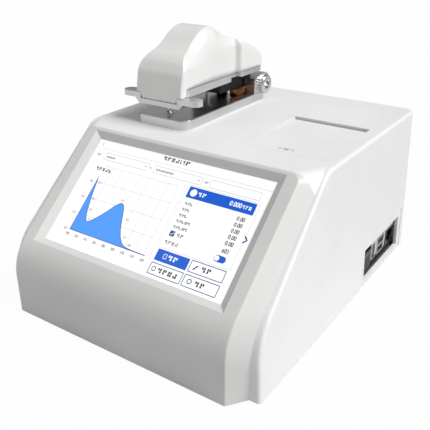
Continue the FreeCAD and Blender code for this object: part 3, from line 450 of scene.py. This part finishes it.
def wordBars(marks, x, y, high, lengths):
    # a word is a row of small blocks, each broken into a few cells, so nothing can be read
    for index, length in enumerate(lengths):
        columns = max(2, round(length / high * 2))
        pitch = length / columns
        for column in range(columns):
            for row in range(2):
                isGap = (3 * index + 2 * column + row) % 5 == 0
                if not isGap:
                    marks.bar(x + pitch * column, y + row * high * 0.54, pitch * 0.78, high * 0.46)
        x += length + high * 0.3


print("display marks")
paper = Marks()
paper.bar(*(displayLook[side] for side in ("left", "foot", "wide", "high", "corner")))
paper.make("displayPaper", "inkPaper")

chartLook = dict(left=-60.4, foot=-31.0, steps=160, smoothing=5, line=0.4, axisLeft=-60.6, axisFoot=-31.2,
                 axisWide=70.6, axisHigh=45.2, rowPitch=13.5, columnPitch=8.6, gridWide=70.0, gridHigh=54.0)
# the absorbance curve: a steep fall from the left, a dip, a broad peak and a long tail
curve = np.array([(-60.4, 14.0), (-58.3, 2.5), (-56.6, -5.0), (-55.0, -10.8), (-53.6, -15.4),
                  (-52.2, -19.0), (-50.8, -21.3), (-49.4, -22.0), (-47.5, -20.8), (-45.0, -18.6),
                  (-42.0, -15.6), (-39.0, -12.0), (-36.0, -8.2), (-33.6, -4.8), (-31.6, -2.6),
                  (-29.8, -1.2), (-28.2, -0.9), (-26.8, -1.6), (-25.4, -3.4), (-24.2, -5.8),
                  (-22.8, -9.4), (-21.2, -13.6), (-19.6, -17.4), (-18.0, -20.8), (-16.2, -23.8),
                  (-14.2, -26.4), (-12.0, -28.4), (-9.6, -29.7), (-6.0, -30.4), (0.0, -30.75),
                  (9.5, -30.9)])
fineX = np.linspace(curve[0, 0], curve[-1, 0], chartLook["steps"])
fineY = np.interp(fineX, curve[:, 0], curve[:, 1])
window = np.ones(chartLook["smoothing"]) / chartLook["smoothing"]
fineY = np.convolve(np.pad(fineY, chartLook["smoothing"] // 2, mode="edge"), window, "valid")
chart = Marks()
chart.band(np.stack([fineX, np.full_like(fineX, chartLook["foot"])], 1), np.stack([fineX, fineY], 1))
chart.make("chartFill", "inkChart")
chartLine = Marks()
chartLine.stroke(np.stack([fineX, fineY], 1), chartLook["line"])
chartLine.bar(chartLook["axisLeft"], chartLook["axisFoot"], chartLook["axisWide"], chartLook["line"])
chartLine.bar(chartLook["axisLeft"], chartLook["axisFoot"], chartLook["line"], chartLook["axisHigh"])
chartLine.make("chartLine", "inkLine")

pale = Marks()
for step in range(1, 5):
    rowLow = chartLook["axisFoot"] + chartLook["rowPitch"] * step
    pale.bar(chartLook["left"], rowLow, chartLook["gridWide"], displayLook["rule"])
for step in range(1, 9):
    columnLeft = chartLook["left"] + chartLook["columnPitch"] * step
    pale.bar(columnLeft, chartLook["foot"], displayLook["rule"], chartLook["gridHigh"])
pale.bar(displayLook["left"], 36.2, displayLook["wide"], 0.45)
for x, wide in ((-65.6, 43.0), (-18.0, 42.6), (31.0, 40.0)):
    pale.frameBox(x, 27.6, wide, 6.4, 1.0, 0.55)
pale.bar(13.6, -43.0, displayLook["rule"], 70.0)
pale.frameBox(15.6, -22.0, 57.4, 48.4, 1.2, displayLook["rule"])
pale.make("displayRules", "inkPale")

blue = Marks()
blue.bar(17.6, 16.9, 53.2, 8.4, 0.4)
blue.bar(17.6, -31.2, 25.8, 8.2, 0.4)
blue.bar(58.6, -19.2, 8.6, 4.6, 2.2)
blue.make("displayBlue", "inkBlue")

boxes = Marks()
for x, y in ((17.2, -41.2), (44.9, -31.2), (44.9, -41.2)):
    boxes.frameBox(x, y, 26.4, 8.3, 0.5, 0.5)
boxes.bar(19.6, -12.6, 4.0, 4.0, 0.6)
boxes.stroke([(72.4, 2.4), (73.6, 1.2), (74.8, 0.0), (73.6, -1.2), (72.4, -2.4)], 1.0)
boxes.make("buttonFrames", "inkLine")

white = Marks()
white.disc(22.4, 21.1, 2.7)
wordBars(white, 26.4, 19.6, 3.0, (2.7, 2.7))
number(white, "0.000", 52.0, 19.8, 2.9, 0.42)
wordBars(white, 61.6, 19.7, 2.6, (1.6, 1.6, 1.9))
wordBars(white, 27.6, -28.7, 3.4, (3.2, 3.2))
white.frameBox(23.4, -28.8, 2.8, 3.6, 0.4, 0.4)
white.stroke([(20.4, -10.8), (21.1, -11.6), (23.0, -9.7)], 0.45)
white.disc(60.6, -16.9, 1.75)
white.make("displayWhite", "inkWhite")

listLook = dict(rows=5, pitch=4.5, valueTop=11.2, nameTop=11.4, shortRows=3)
dark = Marks()
wordBars(dark, -14.4, 39.4, 3.0, (2.8, 2.8, 2.8, 2.8, 1.4, 1.8, 3.4))
wordBars(dark, -66.8, 18.6, 2.6, (2.3, 2.3, 2.3, 2.3, 2.3))
for row in range(listLook["rows"]):
    number(dark, "0.00", 61.6, listLook["valueTop"] - listLook["pitch"] * row, 2.5, 0.34)
number(dark, "602", 61.8, -12.2, 2.5, 0.34)
for x, y, count in ((24.6, -38.7, 4), (54.2, -28.6, 2), (54.2, -38.7, 2)):
    wordBars(dark, x, y, 3.3, [3.1] * count)
dark.ring(21.0, -37.0, 1.7, 0.5)
dark.ring(49.8, -37.0, 1.8, 0.55)
dark.stroke([(48.2, -29.0), (50.9, -25.6)], 0.9)
dark.make("displayInk", "inkDark")

grey = Marks()
for index in range(9):
    number(grey, "%d" % (200 + 20 * index), -62.0 + 8.7 * index, -35.2, 1.7, 0.24)
for index, text in enumerate(("0.0", "0.2", "0.4", "0.6")):
    number(grey, text, -66.0, -32.0 + 13.4 * index, 1.7, 0.24)
for x, y, text in ((-57.6, 8.6, "0.7"), (-55.6, -4.6, "0.5"), (-53.0, -13.2, "0.3"), (-49.8, -20.2, "0.1"),
                   (-30.2, 0.6, "0.4"), (-18.6, -11.8, "0.3"), (-13.0, -24.4, "0.1"), (-6.8, -28.6, "0.0")):
    number(grey, text, x, y, 1.5, 0.2)
for row in range(listLook["rows"]):
    lengths = (2.0, 4.0) if row < listLook["shortRows"] else (2.0, 4.0, 4.4)
    wordBars(grey, 19.6, listLook["nameTop"] - listLook["pitch"] * row, 2.0, lengths)
wordBars(grey, 25.6, -12.0, 2.6, (2.2, 2.2))
wordBars(grey, 19.0, -18.4, 2.4, (2.2, 2.2, 2.2, 2.2))
wordBars(grey, -73.0, 29.8, 2.0, (1.6, 1.6))
wordBars(grey, -63.6, 29.9, 1.5, (9.0,))
wordBars(grey, -21.4, 29.9, 1.6, (1.2,))
wordBars(grey, -16.0, 29.9, 1.5, (16.0,))
wordBars(grey, 26.4, 29.9, 1.6, (1.4, 1.4))
grey.stroke([(-26.4, 31.4), (-25.5, 30.4), (-24.6, 31.4)], 0.4)
grey.stroke([(20.6, 31.4), (21.5, 30.4), (22.4, 31.4)], 0.4)
grey.stroke([(-71.8, 41.4), (-73.2, 40.0), (-71.8, 38.6)], 0.4)
grey.make("displayGrey", "inkGrey")

lidMarkLook = dict(spokes=3, turn=0.3, at=(0.2, 6.1), reach=2.6, line=0.5)
lidLow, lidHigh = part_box("cuvette_lid")


def onLid(flat, lift):
    # a flat mark is laid on the lid's top face, measured from the middle of its front edge
    flat = np.asarray(flat, float) * mm
    middle = (lidLow.x + lidHigh.x) / 2
    height = np.full(len(flat), lidHigh.z + lift * mm)
    return np.stack([flat[:, 0] + middle, flat[:, 1] + lidLow.y, height], 1)


lidMark = Marks()
for step in range(lidMarkLook["spokes"]):
    turn = math.pi * step / lidMarkLook["spokes"] + lidMarkLook["turn"]
    reach = np.array([math.cos(turn), math.sin(turn)]) * lidMarkLook["reach"]
    lidMark.stroke([lidMarkLook["at"] - reach, lidMarkLook["at"] + reach], lidMarkLook["line"])
lidMark.stroke([(-5.4, 5.2), (-3.4, 7.4)], lidMarkLook["line"])
lidMark.stroke([(-5.4, 7.4), (-4.6, 5.4)], 0.45)
lidMark.stroke([(3.6, 7.9), (5.6, 7.5), (5.0, 5.0)], lidMarkLook["line"])
lidMark.make("lidMark", "inkMark", onLid, "lid")

dress(nodes["display_glass"], litInk("glassEdge", (0.86, 0.88, 0.90), 0.3, 0.08))


# the hood and the ribbon are worked in mm, y from the case's front edge and z from the top of the case
armX = -45.0
caseTop = 125.3
backward = -137.5
pathSteps = 1200


def smooth(low, high, value):
    t = np.clip((value - low) / (high - low), 0, 1)
    return t * t * (3 - 2 * t)


def evenPath(corners, count, soften):
    # resample a polyline evenly by its length, then round it with a Gaussian of the given reach
    corners = np.asarray(corners, float)
    steps = np.linalg.norm(np.diff(corners, axis=0), axis=1)
    length = np.concatenate([[0], np.cumsum(steps)])
    fine = np.linspace(0, length[-1], pathSteps)
    path = np.stack([np.interp(fine, length, corners[:, k]) for k in range(corners.shape[1])], 1)
    gap = length[-1] / (pathSteps - 1)
    half = int(3 * soften / gap)
    weight = np.exp(-0.5 * (np.arange(-half, half + 1) * gap / soften) ** 2)
    weight /= weight.sum()
    start = 2 * path[0] - path[half:0:-1]
    end = 2 * path[-1] - path[-2:-half - 2:-1]
    padded = np.concatenate([start, path, end])
    path = np.stack([np.convolve(padded[:, k], weight, "valid") for k in range(path.shape[1])], 1)
    return path[np.linspace(0, pathSteps - 1, count).round().astype(int)]


hoodLook = dict(wall=1.8, frontHalf=22.0, backHalf=26.5, stepFrom=188.6, stepTo=191.6, rows=200, soften=1.7,
                skirtHalf=17.0, skirtLow=20.3, skirtTop=30, skirtBack=120, sideLow=24.6, deckLow=30.3,
                flangeLow=31.4, deckFront=122.3, flangeFront=189.4, lean=55.0, lowReach=2.6, domeReach=21.0,
                backReach=5.0, domeLow=42, domeHigh=62, tailFrom=172, tailTo=198)


def hoodProfile():
    # side outline from the front's bottom edge over the dome to the back's bottom edge (y, z)
    front = [(115.3, 20.3), (115.7, 30.0), (117.8, 41.0), (122.2, 49.0), (127.0, 53.2), (133.0, 56.0)]
    crest = [(139.5, 60.0), (146.5, 65.4), (153.0, 68.9), (160.0, 70.6), (167.0, 70.2), (174.0, 65.6)]
    back = [(182.0, 60.9), (191.0, 57.3), (201.0, 53.9), (210.0, 49.9), (217.5, 46.3), (224.6, 42.2)]
    heel = [(227.2, 38.0), (227.6, 31.4)]
    return evenPath(front + crest + back + heel, hoodLook["rows"], hoodLook["soften"])


def hoodFoot(outlineY):
    # bottom edge of the flat side under each row: it steps up over the deck and again over the flange
    look = hoodLook
    rowY = [115.3, 115.7, 117.8, 122.2, 150.0, 217.0, 227.6]
    edgeY = [118.0, 121.6, 124.5, 129.0, 150.0, 217.0, 222.6]
    footY = np.interp(outlineY, rowY, edgeY)
    behindDeck = np.where(footY < look["flangeFront"], look["deckLow"], look["flangeLow"])
    footZ = np.where(footY < look["deckFront"], look["sideLow"], behindDeck)
    return np.stack([footY, footZ], 1)


def armHood():
    # rows follow the side outline; columns climb one flat side, cross the top and go down the other side.
    # near the outline the side leans inward: sine of the lean falls evenly with distance from the outline,
    # and the inward drop is reach * (1 - cosine of the lean)
    look = hoodLook
    path = hoodProfile()
    outlineY, outlineZ = path[:, 0], path[:, 1]
    sideRise, skirtRise = look["skirtTop"] - look["sideLow"], look["skirtTop"] - look["skirtLow"]
    raised = look["sideLow"] + (outlineZ - look["skirtLow"]) * sideRise / skirtRise
    inSkirt = (outlineZ < look["skirtTop"]) & (outlineY < look["skirtBack"])
    sideEdge = np.stack([outlineY, np.where(inSkirt, raised, outlineZ)], 1)
    foot = hoodFoot(outlineY)
    shares = np.array([0, 0.12, 0.24, 0.36, 0.47, 0.56, 0.64, 0.71, 0.77, 0.82, 0.87, 0.91, 0.945,
                       0.97, 0.985, 0.994, 1])
    side = foot[:, None, :] + (sideEdge - foot)[:, None, :] * shares[None, :, None]
    inDome = smooth(look["domeLow"], look["domeHigh"], outlineZ)
    inTail = smooth(look["tailFrom"], look["tailTo"], outlineY)
    reach = look["lowReach"] + (look["domeReach"] - look["lowReach"]) * inDome
    reach += (look["backReach"] - reach) * inTail
    gaps = np.linalg.norm(side[:, :, None, :] - sideEdge[None, None, :, :], axis=3)
    nearest = gaps.argmin(2)
    reachHere = reach[nearest]
    sine = np.clip(math.sin(math.radians(look["lean"])) - gaps.min(2) / reachHere, 0, 1)
    drop = reachHere * (1 - np.sqrt(1 - sine * sine))
    widen = smooth(look["stepFrom"], look["stepTo"], side[:, :, 0])
    x = look["frontHalf"] + (look["backHalf"] - look["frontHalf"]) * widen - drop
    edge = x[:, -1:]
    across = np.array([0.992, 0.975, 0.95, 0.9, 0.84, 0.77, 0.6, 0.4, 0.2, 0.0])
    topX = np.concatenate([edge * across, -edge * across[-2::-1]], 1)
    low = np.where(np.abs(topX) < look["skirtHalf"], path[:, 1:], sideEdge[:, 1:])
    topYZ = np.stack([np.broadcast_to(path[:, :1], topX.shape), low], 2)
    allX = np.concatenate([x, topX, -x[:, ::-1]], 1) + armX
    allYZ = np.concatenate([side, topYZ, side[:, ::-1]], 1)
    points = np.stack([allX, allYZ[:, :, 0] + backward, allYZ[:, :, 1] + caseTop], -1) * mm
    faces = gridFaces(points.shape[0], points.shape[1])
    outward = faces[:, ::-1].tolist()
    hood = newPiece("armHood", points.reshape(-1, 3), outward, looks["hoodWhite"], "arm")
    wall = hood.modifiers.new("wall", "SOLIDIFY")
    wall.thickness = look["wall"] * mm
    wall.offset = -1
    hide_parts("arm_hood")


print("arm hood")
armHood()


# copper ribbon between the base plate and the arm
ribbonLook = dict(layers=4, thick=0.45, half=5.0, pitch=1.15, middle=-33.5, rows=30, soften=0.8)


def flexRibbon():
    # each layer is a flat strip that sags in a soft U from the front to the clamp, one inside the other
    look = ribbonLook
    points = []
    faces = []
    for layer in range(look["layers"]):
        lift = look["pitch"] * layer
        corners = [(198.3 + 0.9 * lift, 13.2), (200.4 + 0.8 * lift, 8.9 + lift), (207.0, 7.75 + lift)]
        corners += [(213.4 - 0.5 * lift, 8.9 + lift), (215.0 - 0.4 * lift, 13.2)]
        path = evenPath(corners, look["rows"], look["soften"])
        along = np.gradient(path, axis=0)
        along /= np.linalg.norm(along, axis=1)[:, None]
        across = np.stack([-along[:, 1], along[:, 0]], 1) * look["thick"] / 2
        rings = []
        for sign, x in ((-1, -1), (-1, 1), (1, 1), (1, -1)):
            yz = path + across * sign
            sideX = np.full(len(yz), look["middle"] + x * look["half"])
            rings.append(np.stack([sideX, yz[:, 0], yz[:, 1]], 1))
        start = 4 * len(path) * layer
        points.append(np.stack(rings, 1).reshape(-1, 3))
        strip = gridFaces(len(path), 4, wrap=True) + start
        last = start + 4 * (len(path) - 1)
        faces += strip[:, ::-1].tolist()
        faces += [[start, start + 1, start + 2, start + 3], [last + 3, last + 2, last + 1, last]]
    allPoints = np.concatenate(points) + (0, backward, caseTop)
    ribbon = newPiece("flexRibbon", allPoints * mm, faces, looks["copperFilm"], "root", False)
    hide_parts("flex_ribbon")


print("ribbon")
flexRibbon()

print("stage")
floorLook = dict(half=6.0, dark=0.60, pale=0.62, glow=1.0, seen=0.97)
half = floorLook["half"]
floorPoints = [(-half, -half, 0), (half, -half, 0), (half, half, 0), (-half, half, 0)]
floorMesh = bpy.data.meshes.new("floor")
floorMesh.from_pydata(floorPoints, [], [(0, 1, 2, 3)])
floor = bpy.data.objects.new("floor", floorMesh)
bpy.context.scene.collection.objects.link(floor)
floorShade = Shade("floorPale")
mottle = floorShade.noise(3.0, 2.0)
floorDark, floorPale = ((tone, tone, tone, 1) for tone in (floorLook["dark"], floorLook["pale"]))
floorTone = floorShade.blend(mottle, floorDark, floorPale)
bare = floorShade.node("ShaderNodeBsdfDiffuse", {}, {"Color": floorTone, "Roughness": 0.5})
lit = floorShade.node("ShaderNodeEmission", {}, {"Color": (1, 1, 1, 1), "Strength": floorLook["glow"]})
seen = floorShade.node("ShaderNodeLightPath", {}, {}, "Is Camera Ray")
sheet = floorShade.node("ShaderNodeMixShader", {}, {0: seen * floorLook["seen"], 1: bare, 2: lit})
floorShade.node("ShaderNodeOutputMaterial", {}, {"Surface": sheet})
floorMesh.materials.append(floorShade.material)

lights = {
    "keyLight": dict(kind="SUN", at=(1.35, 0.16, 1.72), size=0.6, power=3.15),
    "fillLight": dict(kind="AREA", at=(-1.2, -1.4, 1.3), size=1.4, power=3.2),
}
lightAim = Vector((0, 0, 0.08))
for name, light in lights.items():
    lamp = bpy.data.lights.new(name, light["kind"])
    if light["kind"] == "SUN":
        lamp.angle = light["size"]
    else:
        lamp.size = light["size"]
    lamp.energy = light["power"]
    holder = bpy.data.objects.new(name, lamp)
    holder.location = light["at"]
    holder.rotation_mode = "QUATERNION"
    holder.rotation_quaternion = (Vector(light["at"]) - lightAim).to_track_quat("Z", "Y")
    bpy.context.scene.collection.objects.link(holder)

skyLook = dict(dim=0.33, clear=0.98)
world = bpy.data.worlds.new("studio")
bpy.context.scene.world = world
sky = Shade("studio", world)
dim = sky.node("ShaderNodeBackground", {}, {"Color": (0.97, 0.98, 1.0, 1), "Strength": skyLook["dim"]})
clear = sky.node("ShaderNodeBackground", {}, {"Color": (1, 1, 1, 1), "Strength": skyLook["clear"]})
skySeen = sky.node("ShaderNodeLightPath", {}, {}, "Is Camera Ray")
skyMix = sky.node("ShaderNodeMixShader", {}, {0: skySeen, 1: dim, 2: clear})
sky.node("ShaderNodeOutputWorld", {}, {"Surface": skyMix})

bpy.context.scene.view_settings.view_transform = "Standard"

print("camera")
cameraLook = dict(at=(251.18, -381.94, 271.68), turn=34.16, dip=25.63, lens=52.0, sensor=36.0,
                  near=0.01, far=50)
turn = math.radians(cameraLook["turn"])
dip = math.radians(cameraLook["dip"])
ahead = Vector((-math.sin(turn) * math.cos(dip), math.cos(turn) * math.cos(dip), -math.sin(dip)))
right = Vector((math.cos(turn), math.sin(turn), 0))
up = right.cross(ahead)
axes = Matrix((right, up, -ahead)).transposed().to_4x4()
camera = bpy.data.cameras.new("camera")
camera.lens = cameraLook["lens"]
camera.sensor_width = cameraLook["sensor"]
camera.clip_start = cameraLook["near"]
camera.clip_end = cameraLook["far"]
viewer = bpy.data.objects.new("camera", camera)
viewer.matrix_world = Matrix.Translation(Vector(cameraLook["at"]) * mm) @ axes
bpy.context.scene.collection.objects.link(viewer)
bpy.context.scene.camera = viewer
